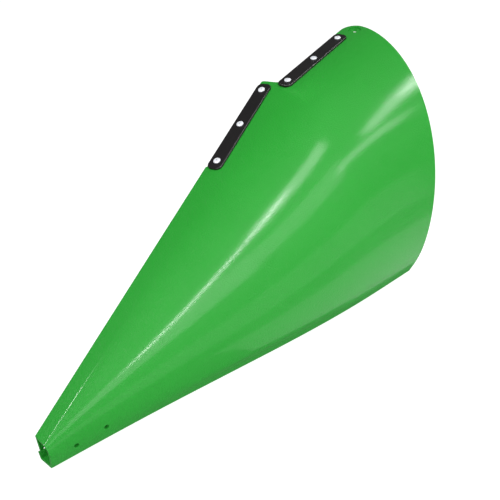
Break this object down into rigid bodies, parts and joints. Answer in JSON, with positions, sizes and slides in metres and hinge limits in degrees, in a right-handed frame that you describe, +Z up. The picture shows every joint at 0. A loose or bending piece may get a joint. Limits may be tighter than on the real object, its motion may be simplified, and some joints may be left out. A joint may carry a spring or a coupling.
{
  "type": "corn head snout",
  "caption": "Long tapering one-sided plastic row divider with riveted wear strips along its crest, an open boxed tip and an open back.",
  "frame": {"origin": "on the axis of the front tip bolt hole, midway through the outer wall", "axes": "+Y from the tip towards the open rear, along the lower edge's length; +X out of the bulging outer wall, along the tip bolts; +Z up"},
  "size_m": [0.4845, 1.315, 0.5143],
  "materials": {
    "green_plastic": "satin moulded polyethylene",
    "black_strip": "matte wear plastic",
    "rivet_aluminium": "plain",
    "mandrel_steel": "broken end",
    "washer_aluminium": "plain"
  },
  "bodies": {
    "root": {"shell": "green_plastic", "wear_strip_front": "black_strip", "wear_strip_rear": "black_strip", "rivet_body_front_1": "rivet_aluminium", "rivet_body_front_2": "rivet_aluminium", "rivet_body_front_3": "rivet_aluminium", "rivet_body_rear_1": "rivet_aluminium", "rivet_body_rear_2": "rivet_aluminium", "rivet_body_rear_3": "rivet_aluminium", "rivet_mandrel_front_1": "mandrel_steel", "rivet_mandrel_front_2": "mandrel_steel", "rivet_mandrel_front_3": "mandrel_steel", "rivet_mandrel_rear_1": "mandrel_steel", "rivet_mandrel_rear_2": "mandrel_steel", "rivet_mandrel_rear_3": "mandrel_steel", "backup_washer_front_1": "washer_aluminium", "backup_washer_front_2": "washer_aluminium", "backup_washer_front_3": "washer_aluminium", "backup_washer_rear_1": "washer_aluminium", "backup_washer_rear_2": "washer_aluminium", "backup_washer_rear_3": "washer_aluminium"}
  },
  "joints": []
}
